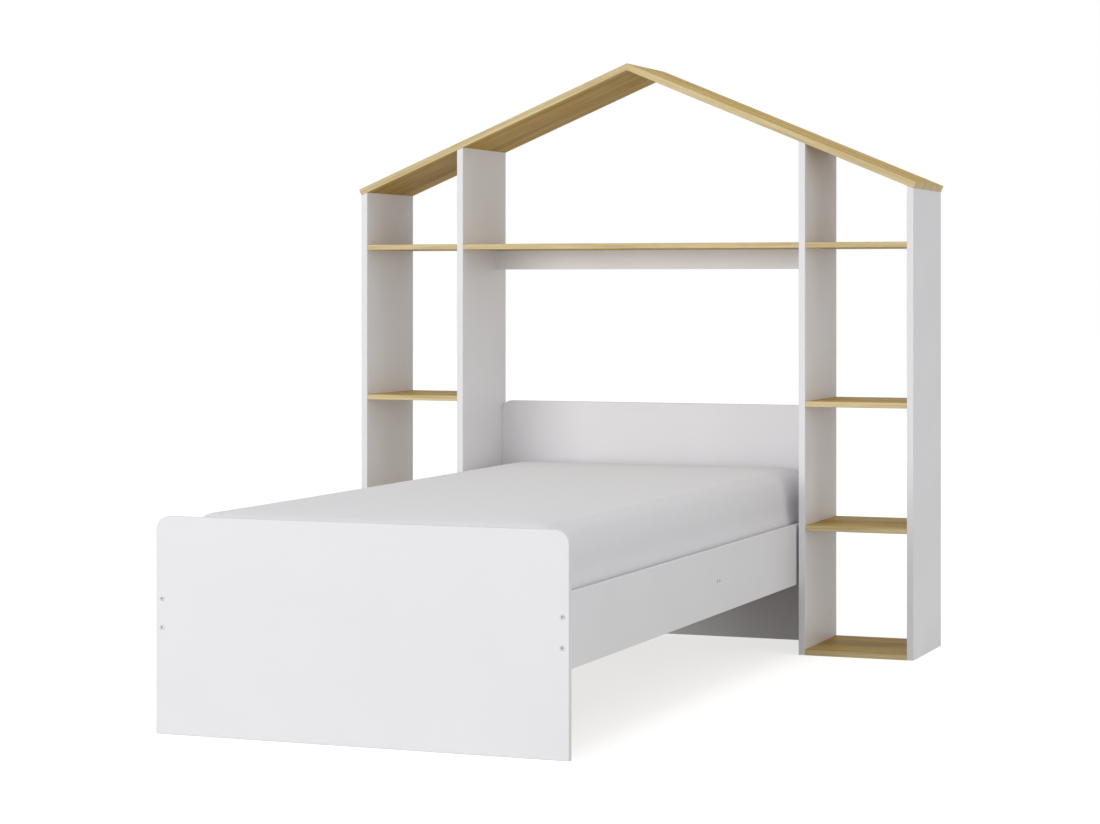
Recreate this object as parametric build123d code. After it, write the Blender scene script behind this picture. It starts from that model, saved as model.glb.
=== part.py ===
from build123d import *
from math import cos, radians, sin, tan
import os

# A single bed whose head end stands in the middle bay of a house-shaped shelf unit.
# Millimetres. X runs left to right as seen from the foot of the bed, Y from foot to wall, Z up.
# The origin is on the floor, in the middle of the whole object.

# Shelf unit
UNIT_W = 1600.0  # over the faces of the two outer uprights
UNIT_D = 320.0  # depth of uprights, shelves and roof
HEAD_INSET = 14.0  # the headboard stands this far inside the unit's back
UPRIGHT_T = 18.0
SIDE_BAY = 277.0  # clear width of each side column
ROOF_T = 18.0
ROOF_PITCH = 22.6  # degrees
EAVES_TOP = 1262.5  # height of the roof's top face over the outer upright's outer face
BOARD_T = 15.0  # shelves, bed panels and rails
SHELF_TOPS = {"base": 15.0, "lower": 347.0, "middle": 678.0, "upper": 1103.0}
STRETCHER_H = 55.0
STRETCHER_BACK = 64.0  # from the headboard's rear to the stretcher's front face
EDGE = 0.8  # trimmed edge of the edge banding

# Bed
BED_L = 2040.0  # footboard front to headboard rear
FOOTBOARD_H = 480.0
HEADBOARD_H = 654.0
CORNER_R = 30.0  # top corners of footboard and headboard
RAIL_H = 160.0
RAIL_MID = 266.5  # height of the rail's middle line
RAIL_INSET = 7.5  # rail's outer face inside the panels' ends
BOLT_PITCH = 64.0  # between the two bolts of one rail end

# Slatted base
LEDGER_H = 30.0
LEDGER_T = 20.0
LEDGER_L = 1980.0
SLAT_T = 18.0
SLAT_W = 70.0
SLAT_PITCH = 155.0
SLATS_EACH_WAY = 6  # loose slats on each side of the tie batten
SLAT_PLAY = 2.5  # between slat end and rail
TIE_Y = 32.0  # the tie batten lies this far towards the head from the bed's middle
RIBBON_W = 25.0
RIBBON_T = 1.0
RIBBON_X = 290.0

# Mattress
MATTRESS_W = 900.0
MATTRESS_L = 1996.0
MATTRESS_TOP = 480.0  # height at the shoulders, where the crown starts
MATTRESS_CROWN = 8.0
MATTRESS_BULGE = 4.0  # swell of the long sides, seen from above
MATTRESS_END_SHARE = 0.5  # swell of the ends, as a share of the sides'
MATTRESS_WAIST = 3.0  # swell halfway up the sides
SHOULDER_RUN = 44.0  # the top edges' soft rounding, measured level
SHOULDER_DROP = 95.0  # and down the side
HEM_R = 24.0  # rounding of the bottom edges
PLAN_R = 75.0  # rounding of the upright corners
CROWN_CORNER_R = 30.0  # rounding of the outlines that shape the crown
HEM_STEPS = 2
SHOULDER_STEPS = 4
CROWN_STEPS = 6
CROWN_REACH = 0.9  # share of the half width over which the crown rises
GAP = 0.3  # between the mattress and the slats

# Fittings
CAM_R = 6.0
CAM_DEEP = 10.5
CAM_REACH = 34.0  # from a shelf's end to the middle of its cam
ROOF_CAM_REACH = 50.0
CAM_BOLT_R = 3.0
CAM_BORE_R = 4.0
CAM_THREAD = 11.0  # length screwed into the receiving board
CAM_MOUTH = 7.0
CAM_CROSS = 8.0
CAM_CROSS_W = 1.6
CAM_CROSS_DEEP = 1.5
CAM_BOLT_TIP = 1.0  # from the cam's middle to the end of its bolt
COVER_R = 6.6
COVER_T = 0.8
DOWEL_R = 4.0
DOWEL_L = 30.0
DOWEL_IN = 10.0  # part of a dowel in the receiving board
RIDGE_DOWEL_R = 3.0
RIDGE_DOWEL_L = 24.0
HOLE_SLACK = 0.5  # spare depth at the bottom of a blind hole
FITTING_SETBACK = 37.0  # from a board's front or rear edge to its first fitting
SYSTEM_STEP = 32.0
RAIL_BOLT_R = 3.0
RAIL_BOLT_L = 58.0
RAIL_BOLT_HEAD_R = 6.0
RAIL_BOLT_HEAD_T = 3.5
RAIL_BOLT_SOCKET = 2.3  # radius over the corners of the hexagon socket
RAIL_BOLT_SOCKET_DEEP = 2.0
NUT_R = 5.0
NUT_L = 13.0
NUT_REACH = 37.0  # from the rail's end to the middle of its cross nut
SCREW_R = 2.0
SCREW_HEAD_R = 4.0
SCREW_HEAD_T = 2.5
LEDGER_SCREW_L = 30.0
BATTEN_SCREW_L = 50.0
BATTEN_SCREW_PITCH = 18.0
LEDGER_SCREWS = 4
PIN_SIDES = 8  # hidden pins, screws and their holes
CAM_SIDES = 10
HEAD_SIDES = 12  # fittings whose round heads show

# Places worked out from the driving sizes
HEAD = BED_L / 2
FOOT = -BED_L / 2
UNIT_BACK = HEAD + HEAD_INSET
UNIT_FRONT = UNIT_BACK - UNIT_D
OUTER_X = UNIT_W / 2
OUTER_IN = OUTER_X - UPRIGHT_T
INNER_OUT = OUTER_IN - SIDE_BAY
NICHE_X = INNER_OUT - UPRIGHT_T
RAIL_OUT = NICHE_X - RAIL_INSET
RAIL_IN = RAIL_OUT - BOARD_T
RAIL_X = (RAIL_OUT + RAIL_IN) / 2
RAIL_END = HEAD - BOARD_T
SLAT_LOW = RAIL_MID - SLAT_T / 2
SLAT_TOP = RAIL_MID + SLAT_T / 2
NICHE_SHELF_LOW = SHELF_TOPS["upper"] - BOARD_T
ROOF_RISE = tan(radians(ROOF_PITCH))
ROOF_PLUMB = ROOF_T / cos(radians(ROOF_PITCH))  # upright thickness of the roof board

RIGHT = Vector(1, 0, 0)
LEFT = Vector(-1, 0, 0)
BACK = Vector(0, 1, 0)
FRONT = Vector(0, -1, 0)
UP = Vector(0, 0, 1)
DOWN = Vector(0, 0, -1)

SIDES = {"left": -1, "right": 1}


def roof_under(x):
    """Height of the roof's underside at a distance x from the middle."""
    return EAVES_TOP - ROOF_PLUMB + ROOF_RISE * (OUTER_X - abs(x))


def block(x, y, z):
    """A box between three pairs of low and high values."""
    middle = Pos((x[0] + x[1]) / 2, (y[0] + y[1]) / 2, (z[0] + z[1]) / 2)
    return middle * Box(abs(x[1] - x[0]), abs(y[1] - y[0]), abs(z[1] - z[0]))


def rod(start, way, radius, length, sides):
    """A pin from a point along a direction, with as many sides as its place calls for."""
    return Plane(origin=start, z_dir=way) * extrude(RegularPolygon(radius, sides), length)


def countersunk(start, way, head_r, head_t, shank_r, length, sides):
    """The outside of a bolt or screw whose cone-shaped head lies flush where it starts."""
    place = Plane(origin=start, z_dir=way)
    wide = RegularPolygon(head_r, sides)
    narrow = Pos(0, 0, head_t) * RegularPolygon(shank_r, sides)
    return place * (loft([wide.face(), narrow.face()], ruled=True) + extrude(narrow, length - head_t))


def softened(board, axis):
    """The board with its four edges along one axis trimmed."""
    return chamfer(board.edges().filter_by(axis), EDGE)


def mirrored_pair(sign, low, high):
    """Low and high X of something on the left (-1) or right (1)."""
    return (low, high) if sign > 0 else (-high, -low)


class Fittings:
    """The knock-down fittings, and the holes that they need in each board."""

    def __init__(self):
        self.holes = {}
        self.cams = []
        self.cam_bolts = []
        self.covers = []
        self.dowels = {"shelf": [], "bed": [], "ridge": []}
        self.rail_bolts = []
        self.nuts = []
        self.screws = {"ledger": [], "batten": []}

    def hole(self, board, tool):
        """Keeps a cutting tool for one board."""
        self.holes.setdefault(board, []).append(tool)

    def drilled(self, name, board):
        """The board with all its holes."""
        tools = self.holes.get(name)
        return board - tools if tools else board

    def cam(self, carrier, receiver, point, into, opens, face, reach=CAM_REACH, cover=False):
        """A cam lock in the carrier that pulls on a bolt screwed into the receiver.

        The bolt's axis crosses the joint at a point and runs into the receiver. The cam's pocket opens
        towards another direction, on a face at a given distance from the axis.
        """
        centre = point - into * reach
        mouth = centre + opens * face
        body = rod(mouth, -opens, CAM_R, CAM_DEEP, CAM_SIDES)
        self.hole(carrier, body)
        self.hole(carrier, rod(centre, into, CAM_BORE_R, reach + UPRIGHT_T / 4, PIN_SIDES))
        self.hole(receiver, rod(point - into * DOWEL_R, into, CAM_BOLT_R, DOWEL_R + CAM_THREAD, PIN_SIDES))
        slot = Plane(origin=centre, z_dir=into, x_dir=opens)
        slot = slot * Box(CAM_MOUTH, CAM_MOUTH, 2 * CAM_R, align=(Align.CENTER, Align.CENTER, Align.MIN))
        top = Plane(origin=mouth, z_dir=-opens, x_dir=into)
        low = (Align.CENTER, Align.CENTER, Align.MIN)
        cross = top * Box(CAM_CROSS, CAM_CROSS_W, CAM_CROSS_DEEP, align=low)
        cross += top * Box(CAM_CROSS_W, CAM_CROSS, CAM_CROSS_DEEP, align=low)
        self.cams.append(body - slot - cross)
        tip = centre + into * CAM_BOLT_TIP
        self.cam_bolts.append(rod(tip, into, CAM_BOLT_R, reach - CAM_BOLT_TIP + CAM_THREAD, PIN_SIDES))
        if cover:
            self.covers.append(rod(mouth, opens, COVER_R, COVER_T, HEAD_SIDES))

    def dowel(self, group, carrier, receiver, point, into, inside=DOWEL_IN, radius=DOWEL_R, length=DOWEL_L):
        """A wooden dowel across a joint, with a blind hole in each of the two boards."""
        start = point - into * (length - inside)
        self.dowels[group].append(rod(start, into, radius, length, PIN_SIDES))
        deep = length - inside + HOLE_SLACK
        self.hole(carrier, rod(point - into * deep, into, radius, deep + radius, PIN_SIDES))
        self.hole(receiver, rod(point - into * radius, into, radius, radius + inside + HOLE_SLACK, PIN_SIDES))

    def screw(self, group, point, into, length, through, held):
        """A countersunk wood screw, its head flush with the board that it goes through."""
        body = countersunk(point, into, SCREW_HEAD_R, SCREW_HEAD_T, SCREW_R, length, PIN_SIDES)
        self.screws[group].append(body)
        self.hole(through, body)
        self.hole(held, body)

    def rail_end(self, panel, rail, x, height, joint_y, into):
        """A flat-headed bolt through a panel into a cross nut in the rail.

        The direction runs from the panel into the rail.
        """
        joint = Vector(x, joint_y, height)
        outside = joint - into * BOARD_T
        bolt = countersunk(
            outside, into, RAIL_BOLT_HEAD_R, RAIL_BOLT_HEAD_T, RAIL_BOLT_R, RAIL_BOLT_L, HEAD_SIDES
        )
        self.hole(panel, bolt)
        self.rail_bolts.append(bolt - rod(outside, into, RAIL_BOLT_SOCKET, RAIL_BOLT_SOCKET_DEEP, 6))
        bore = rod(joint, into, RAIL_BOLT_R, RAIL_BOLT_L - BOARD_T + HOLE_SLACK, HEAD_SIDES)
        self.hole(rail, bore)
        inward = LEFT if x > 0 else RIGHT
        mouth = joint + into * NUT_REACH + inward * (BOARD_T / 2)
        nut = rod(mouth, -inward, NUT_R, NUT_L, CAM_SIDES)
        self.hole(rail, nut)
        self.nuts.append(nut - bore)


def upright(sign, x_in, x_out):
    """A side board whose top is cut to the slope of the roof, between its inner and outer face."""
    outline = Polyline(
        (sign * x_in, 0),
        (sign * x_out, 0),
        (sign * x_out, roof_under(x_out)),
        (sign * x_in, roof_under(x_in)),
        close=True,
    )
    face = Plane(origin=(0, UNIT_FRONT, 0), x_dir=(1, 0, 0), z_dir=(0, -1, 0)) * make_face(outline)
    return softened(extrude(face, UNIT_D, dir=(0, 1, 0)), Axis.Z)


def roof_panel(sign):
    """A roof board with a vertical mitre at the ridge and its eaves cut square to the slope."""
    lift = Vector(0, 0, 1).rotate(Axis.Y, ROOF_PITCH) * ROOF_T
    under = roof_under(OUTER_X)
    outline = Polyline(
        (sign * OUTER_X, under),
        (sign * (OUTER_X + lift.X), under + lift.Z),
        (0, roof_under(0) + ROOF_PLUMB),
        (0, roof_under(0)),
        close=True,
    )
    face = Plane(origin=(0, UNIT_FRONT, 0), x_dir=(1, 0, 0), z_dir=(0, -1, 0)) * make_face(outline)
    board = extrude(face, UNIT_D, dir=(0, 1, 0))
    sloping = [edge for edge in board.edges() if abs(edge.tangent_at(0).X) > 0.5]
    return chamfer(sloping, EDGE)


def shelf(x_low, x_high, top):
    """A shelf as deep as the uprights."""
    board = block((x_low, x_high), (UNIT_FRONT, UNIT_BACK), (top - BOARD_T, top))
    return softened(board, Axis.X)


def bed_panel(height, y_low):
    """Footboard or headboard: a board on the floor with two rounded top corners."""
    place = Plane(origin=(0, y_low, 0), x_dir=(1, 0, 0), z_dir=(0, -1, 0))
    face = place * Rectangle(2 * NICHE_X, height, align=(Align.CENTER, Align.MIN))
    board = extrude(face, BOARD_T, dir=(0, 1, 0))
    corners = board.edges().filter_by(Axis.Y).sort_by(Axis.Z)[-2:]
    board = fillet(corners, CORNER_R)
    rims = board.faces().filter_by(Axis.Y).edges()
    return chamfer(rims, EDGE)


def side_rail(sign):
    """A long board between footboard and headboard."""
    x = mirrored_pair(sign, RAIL_IN, RAIL_OUT)
    z = (RAIL_MID - RAIL_H / 2, RAIL_MID + RAIL_H / 2)
    return softened(block(x, (-RAIL_END, RAIL_END), z), Axis.Y)


def ledger(sign):
    """The batten on a rail's inner face that carries the slats."""
    x = mirrored_pair(sign, RAIL_IN - LEDGER_T, RAIL_IN)
    return block(x, (-LEDGER_L / 2, LEDGER_L / 2), (SLAT_LOW - LEDGER_H, SLAT_LOW))


def slat(y):
    """A loose slat across the two ledgers."""
    half = RAIL_IN - SLAT_PLAY
    board = block((-half, half), (y - SLAT_W / 2, y + SLAT_W / 2), (SLAT_LOW, SLAT_TOP))
    return softened(board, Axis.X)


def tie_batten():
    """The middle slat, screwed from outside through both rails, which keeps them from spreading."""
    board = block((-RAIL_IN, RAIL_IN), (TIE_Y - SLAT_W / 2, TIE_Y + SLAT_W / 2), (SLAT_LOW, SLAT_TOP))
    return softened(board, Axis.X)


def ribbon(sign):
    """The tape under the slats that keeps their distance."""
    x = (sign * RIBBON_X - RIBBON_W / 2, sign * RIBBON_X + RIBBON_W / 2)
    reach = SLATS_EACH_WAY * SLAT_PITCH + SLAT_W / 2
    return block(x, (-reach, reach), (SLAT_LOW - RIBBON_T, SLAT_LOW))


def stretcher():
    """The board on edge under the niche shelf."""
    y = HEAD - STRETCHER_BACK
    board = block((-NICHE_X, NICHE_X), (y, y + BOARD_T), (NICHE_SHELF_LOW - STRETCHER_H, NICHE_SHELF_LOW))
    return softened(board, Axis.X)


def side_line(start, middle, end):
    """One side of an outline: a shallow arc, or a straight line where the middle doesn't stand out."""
    straight = (Vector(*start) + Vector(*end)) / 2
    if (straight - Vector(*middle)).length < GAP:
        return Line(start, end)
    return ThreePointArc(start, middle, end)


def mattress_outline(inset, bulge, height):
    """The mattress from above at one height: rounded corners joined by four lines or shallow arcs."""
    half_w = MATTRESS_W / 2 - inset
    half_l = MATTRESS_L / 2 - inset
    radius = max(PLAN_R - inset, CROWN_CORNER_R)
    x = half_w - radius
    y = half_l - radius
    swell_w = half_w + bulge
    swell_l = half_l + bulge * MATTRESS_END_SHARE
    edges = [
        CenterArc((x, y), radius, 0, 90),
        side_line((x, half_l), (0, swell_l), (-x, half_l)),
        CenterArc((-x, y), radius, 90, 90),
        side_line((-half_w, y), (-swell_w, 0), (-half_w, -y)),
        CenterArc((-x, -y), radius, 180, 90),
        side_line((-x, -half_l), (0, -swell_l), (x, -half_l)),
        CenterArc((x, -y), radius, 270, 90),
        side_line((half_w, -y), (swell_w, 0), (half_w, y)),
    ]
    return Pos(0, 0, height) * make_face(edges)


def mattress():
    """The mattress as a stack of outlines: rounded hem, swelling sides, soft shoulders, crowned top."""
    low = SLAT_TOP + GAP
    outlines = []
    for step in range(HEM_STEPS + 1):
        turn = radians(90 * step / HEM_STEPS)
        outlines.append((HEM_R * (1 - sin(turn)), 0, low + HEM_R * (1 - cos(turn))))
    waist = (low + HEM_R + MATTRESS_TOP - SHOULDER_DROP) / 2
    outlines.append((-MATTRESS_WAIST, MATTRESS_BULGE, waist))
    for step in range(SHOULDER_STEPS + 1):
        turn = radians(90 * step / SHOULDER_STEPS)
        rise = MATTRESS_TOP - SHOULDER_DROP * (1 - sin(turn))
        outlines.append((SHOULDER_RUN * (1 - cos(turn)), 0, rise))
    for step in range(1, CROWN_STEPS + 1):
        share = CROWN_REACH * step / CROWN_STEPS
        rise = MATTRESS_TOP + MATTRESS_CROWN * (1 - (1 - share) ** 2)
        outlines.append((SHOULDER_RUN + share * (MATTRESS_W / 2 - SHOULDER_RUN), 0, rise))
    return loft([mattress_outline(*outline) for outline in outlines], ruled=True)


def fit_side_shelves(fittings):
    """Each end of a side shelf: a cam near the wall and a dowel near the front."""
    for level, top in SHELF_TOPS.items():
        mid = top - BOARD_T / 2
        for side, sign in SIDES.items():
            carrier = f"shelf_{level}_{side}"
            ends = {
                f"upright_outer_{side}": (sign * OUTER_IN, RIGHT * sign),
                f"upright_inner_{side}": (sign * INNER_OUT, LEFT * sign),
            }
            for receiver, (x, into) in ends.items():
                rear = Vector(x, UNIT_BACK - FITTING_SETBACK, mid)
                front = Vector(x, UNIT_FRONT + FITTING_SETBACK, mid)
                fittings.cam(carrier, receiver, rear, into, DOWN, BOARD_T / 2)
                fittings.dowel("shelf", carrier, receiver, front, into)


def fit_niche(fittings):
    """The boards of the middle bay.

    Each end of the shelf and of the headboard has two cams, each end of the stretcher a cam and a dowel.
    """
    shelf_mid = SHELF_TOPS["upper"] - BOARD_T / 2
    stretcher_y = HEAD - STRETCHER_BACK + BOARD_T / 2
    for side, sign in SIDES.items():
        receiver = f"upright_inner_{side}"
        into = RIGHT * sign
        for y in (UNIT_FRONT + FITTING_SETBACK + SYSTEM_STEP, UNIT_BACK - FITTING_SETBACK - 2 * SYSTEM_STEP):
            point = Vector(sign * NICHE_X, y, shelf_mid)
            fittings.cam("shelf_niche", receiver, point, into, DOWN, BOARD_T / 2)
        low = NICHE_SHELF_LOW - STRETCHER_H
        cam_at = Vector(sign * NICHE_X, stretcher_y, low + STRETCHER_H / 3)
        dowel_at = Vector(sign * NICHE_X, stretcher_y, low + STRETCHER_H * 3 / 4)
        fittings.cam("stretcher", receiver, cam_at, into, BACK, BOARD_T / 2)
        fittings.dowel("shelf", "stretcher", receiver, dowel_at, into)
        up_at = Vector(sign * NICHE_X / 2, stretcher_y, NICHE_SHELF_LOW)
        fittings.dowel("shelf", "stretcher", "shelf_niche", up_at, UP)
        for height in (4 * SYSTEM_STEP, HEADBOARD_H - 3 * SYSTEM_STEP):
            point = Vector(sign * NICHE_X, HEAD - BOARD_T / 2, height)
            fittings.cam("headboard", receiver, point, into, BACK, BOARD_T / 2)


def fit_roof(fittings):
    """Each upright under the roof: a covered cam near the wall and a dowel near the front."""
    for side, sign in SIDES.items():
        panel = f"roof_panel_{side}"
        boards = {
            f"upright_outer_{side}": (OUTER_IN + UPRIGHT_T / 2, LEFT * sign),
            f"upright_inner_{side}": (NICHE_X + UPRIGHT_T / 2, RIGHT * sign),
        }
        for carrier, (x, opens) in boards.items():
            rear = Vector(sign * x, UNIT_BACK - FITTING_SETBACK, roof_under(x))
            front = Vector(sign * x, UNIT_FRONT + FITTING_SETBACK, roof_under(x))
            fittings.cam(carrier, panel, rear, UP, opens, UPRIGHT_T / 2, ROOF_CAM_REACH, cover=True)
            fittings.dowel("shelf", carrier, panel, front, UP)
    ridge_z = roof_under(0) + ROOF_PLUMB / 2
    for y in (UNIT_FRONT + FITTING_SETBACK, (UNIT_FRONT + UNIT_BACK) / 2, UNIT_BACK - FITTING_SETBACK):
        fittings.dowel(
            "ridge",
            "roof_panel_left",
            "roof_panel_right",
            Vector(0, y, ridge_z),
            RIGHT,
            RIDGE_DOWEL_L / 2,
            RIDGE_DOWEL_R,
            RIDGE_DOWEL_L,
        )


def fit_bed(fittings):
    """Two bolts in cross nuts and a dowel at each rail end, and screws in the ledgers and the tie batten."""
    for side, sign in SIDES.items():
        rail = f"side_rail_{side}"
        ends = {"footboard": (-RAIL_END, BACK), "headboard": (RAIL_END, FRONT)}
        for panel, (joint_y, into) in ends.items():
            for height in (RAIL_MID - BOLT_PITCH / 2, RAIL_MID + BOLT_PITCH / 2):
                fittings.rail_end(panel, rail, sign * RAIL_X, height, joint_y, into)
            fittings.dowel("bed", rail, panel, Vector(sign * RAIL_X, joint_y, RAIL_MID), -into)
        out = RIGHT * sign
        for i in range(LEDGER_SCREWS):
            y = (i - (LEDGER_SCREWS - 1) / 2) * LEDGER_L / LEDGER_SCREWS
            head = Vector(sign * (RAIL_IN - LEDGER_T), y, SLAT_LOW - LEDGER_H / 2)
            fittings.screw("ledger", head, out, LEDGER_SCREW_L, f"ledger_{side}", rail)
        for y in (TIE_Y - BATTEN_SCREW_PITCH / 2, TIE_Y + BATTEN_SCREW_PITCH / 2):
            head = Vector(sign * RAIL_OUT, y, RAIL_MID)
            fittings.screw("batten", head, -out, BATTEN_SCREW_L, rail, "tie_batten")


def boards():
    """Every board of the bed and of the shelf unit, before drilling."""
    made = {
        "footboard": bed_panel(FOOTBOARD_H, FOOT),
        "headboard": bed_panel(HEADBOARD_H, RAIL_END),
        "shelf_niche": shelf(-NICHE_X, NICHE_X, SHELF_TOPS["upper"]),
        "stretcher": stretcher(),
        "tie_batten": tie_batten(),
    }
    for side, sign in SIDES.items():
        made[f"upright_outer_{side}"] = upright(sign, OUTER_IN, OUTER_X)
        made[f"upright_inner_{side}"] = upright(sign, NICHE_X, INNER_OUT)
        made[f"roof_panel_{side}"] = roof_panel(sign)
        made[f"side_rail_{side}"] = side_rail(sign)
        made[f"ledger_{side}"] = ledger(sign)
        x_low, x_high = mirrored_pair(sign, INNER_OUT, OUTER_IN)
        for level, top in SHELF_TOPS.items():
            made[f"shelf_{level}_{side}"] = shelf(x_low, x_high, top)
    return made


def slatted_base():
    """The loose slats, counted from the foot, and their two tapes."""
    made = {f"slat_ribbon_{side}": ribbon(sign) for side, sign in SIDES.items()}
    places = [i for i in range(-SLATS_EACH_WAY, SLATS_EACH_WAY + 1) if i]
    for number, i in enumerate(places, start=1):
        made[f"slat_{number:02d}"] = slat(i * SLAT_PITCH)
    return made


def main():
    fittings = Fittings()
    fit_side_shelves(fittings)
    fit_niche(fittings)
    fit_roof(fittings)
    fit_bed(fittings)
    nodes = {name: fittings.drilled(name, board) for name, board in boards().items()}
    nodes.update(slatted_base())
    nodes["mattress"] = mattress()
    groups = {
        "cam_locks": fittings.cams,
        "cam_bolts": fittings.cam_bolts,
        "cam_covers": fittings.covers,
        "shelf_dowels": fittings.dowels["shelf"],
        "ridge_dowels": fittings.dowels["ridge"],
        "bed_dowels": fittings.dowels["bed"],
        "rail_bolts": fittings.rail_bolts,
        "rail_cross_nuts": fittings.nuts,
        "ledger_screws": fittings.screws["ledger"],
        "tie_batten_screws": fittings.screws["batten"],
    }
    for name, pieces in groups.items():
        nodes[name] = Compound(children=[piece.solid() for piece in pieces])
    os.makedirs("parts", exist_ok=True)
    for name, shape in nodes.items():
        export_step(shape, f"parts/{name}.step")


main()
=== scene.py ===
from math import cos, pi, radians, sin, tan

import bpy
import numpy as np
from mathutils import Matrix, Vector


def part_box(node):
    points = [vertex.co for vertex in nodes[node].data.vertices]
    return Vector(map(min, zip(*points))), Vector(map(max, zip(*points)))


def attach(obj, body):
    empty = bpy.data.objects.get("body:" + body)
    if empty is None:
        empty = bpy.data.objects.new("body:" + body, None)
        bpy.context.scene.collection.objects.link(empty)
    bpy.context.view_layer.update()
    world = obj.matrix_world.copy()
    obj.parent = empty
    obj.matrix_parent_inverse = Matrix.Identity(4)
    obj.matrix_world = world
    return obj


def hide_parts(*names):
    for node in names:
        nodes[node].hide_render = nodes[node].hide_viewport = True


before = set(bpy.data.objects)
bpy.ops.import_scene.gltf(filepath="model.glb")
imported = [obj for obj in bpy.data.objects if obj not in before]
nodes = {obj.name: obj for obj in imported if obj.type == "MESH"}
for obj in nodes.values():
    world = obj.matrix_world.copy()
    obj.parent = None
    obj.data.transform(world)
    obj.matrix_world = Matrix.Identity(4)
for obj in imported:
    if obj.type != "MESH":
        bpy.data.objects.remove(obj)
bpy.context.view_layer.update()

# The bed with its shelf unit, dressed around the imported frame. Metres, in the frame's own axes.
MM = 0.001

# Camera, as the photograph was taken
CAMERA_PLACE = (2.482, -6.294, 0.993)
CAMERA_TURN = radians(21.122)
LENS = 88.85
SENSOR = 36.0
PICTURE_W = 1100
PICTURE_MID_Y = 412.0
HORIZON_Y = 283.35  # row of the picture at the camera's own height

# Light
LIGHT_AIM = (0.0, 0.0, 0.8)
LIGHTS = {  # place, size, power
    "key light": ((-5.2, -11.0, 1.8), (8.5, 3.4), 535.0),
    "fill light": ((10.5, -6.0, 1.8), (9.0, 3.4), 182.0),
    "top light": ((0.0, -0.8, 7.0), (5.0, 5.0), 80.0),
}
WORLD_LIGHT = 0.53
FLOOR_GLOW = 0.68
FLOOR_REACH = 30.0
FLOOR_DROP = 0.0005  # so that the floor's plane and the boards' undersides don't coincide

# Fittings, as in the CAD
LEVELS = ("base", "lower", "middle", "upper")
DOWEL_L = 30 * MM
DOWEL_HELD = 20 * MM  # this much of a dowel is in the board that it starts from
CAM_REACH = 34 * MM  # from the joint to the middle of the cam
ROOF_CAM_REACH = 50 * MM
SETBACK = 37 * MM  # from a board's front or rear edge to the fittings
SYSTEM_STEP = 32 * MM
ROOF_PITCH = radians(22.6)
ROOF_T = 18 * MM
EAVES_TOP = 1262.5 * MM
BOLT_PITCH = 64 * MM
NUT_REACH = 37 * MM
CAM_DRIVE = (3.9, 0.75)  # reach and half width of a drive's bars, in millimetres
SCREW_DRIVE = (2.1, 0.42)
NUT_SLOT = (3.8, 0.6)
LEDGER_SCREWS = 4
BATTEN_SCREW_PITCH = 18 * MM
SLAT_PITCH = 155 * MM
SLATS_EACH_WAY = 6
PROUD = 0.1 * MM  # how far a fitting's face stands over the board, so that it covers its hole
TAPE_SAG = 4 * MM
SIDES = (("left", -1), ("right", 1))
QUARTERS = ((1, 1), (-1, 1), (-1, -1), (1, -1))  # anticlockwise, seen from above

X, Y, Z = np.eye(3)


# Surfaces


def add_object(name, vertices, faces, material, slot, body):
    """A mesh object that rides on a body and has the given material; its slot is not used."""
    mesh = bpy.data.meshes.new(name)
    mesh.from_pydata(np.asarray(vertices).tolist(), [], [tuple(face) for face in faces])
    mesh.polygons.foreach_set("use_smooth", [True] * len(mesh.polygons))
    mesh.materials.append(material)
    mesh.update()
    piece = bpy.data.objects.new(name, mesh)
    bpy.context.scene.collection.objects.link(piece)
    if body:
        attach(piece, body)
    return piece


def closed_skin(rows, columns):
    """Faces of a skin of closed rings, with a pole after the last ring's vertices at each end.

    Quads join ring to ring, and a fan of triangles closes the first ring to one pole and the last to
    the other. The rings run from low to high, and anticlockwise seen from above.
    """
    row, column = np.mgrid[0:rows - 1, 0:columns]
    after = (column + 1) % columns
    quads = np.stack(
        [
            row * columns + column,
            row * columns + after,
            (row + 1) * columns + after,
            (row + 1) * columns + column,
        ],
        axis=-1,
    ).reshape(-1, 4)
    around = np.arange(columns)
    after = (around + 1) % columns
    low_pole = np.full(columns, rows * columns)
    last = (rows - 1) * columns
    low = np.stack([low_pole, after, around], axis=-1)
    high = np.stack([low_pole + 1, last + around, last + after], axis=-1)
    return quads.tolist() + low.tolist() + high.tolist()


def with_poles(rings):
    """The rings' points in one list, followed by the middle of the first and of the last ring."""
    ends = [rings[0].mean(axis=0), rings[-1].mean(axis=0)]
    return np.concatenate([rings.reshape(-1, 3), ends])


def placed(points, origin, axis, side):
    """Points whose own Z lies along the axis and own X along the side, moved to the origin."""
    return np.asarray(origin) + points @ np.array([side, np.cross(axis, side), axis])


def repeated_kinds(name, kinds, material, slot):
    """One object with copies of small pieces: (points, faces, places), a place being (origin, axis, side)."""
    vertices, polygons = [], []
    for points, faces, places in kinds:
        for place in places:
            shift = sum(len(part) for part in vertices)
            vertices.append(placed(points, *place))
            polygons += [[v + shift for v in face] for face in faces]
    return add_object(name, np.concatenate(vertices), polygons, material, slot, "frame")


def repeated(name, points, faces, places, material, slot):
    """One object with a copy of the same small piece at each place."""
    return repeated_kinds(name, [(points, faces, places)], material, slot)


def even_angles(count):
    """Angles in equal steps round a circle."""
    return 2 * pi * np.arange(count) / count


def circles(angle, *rings):
    """Plain rings, (radius, height) in millimetres: the same radius at every angle."""
    radius, height = np.array(rings, float).T[:, :, None] * MM
    return radius * np.ones(len(angle)), height * np.ones(len(angle))


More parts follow.
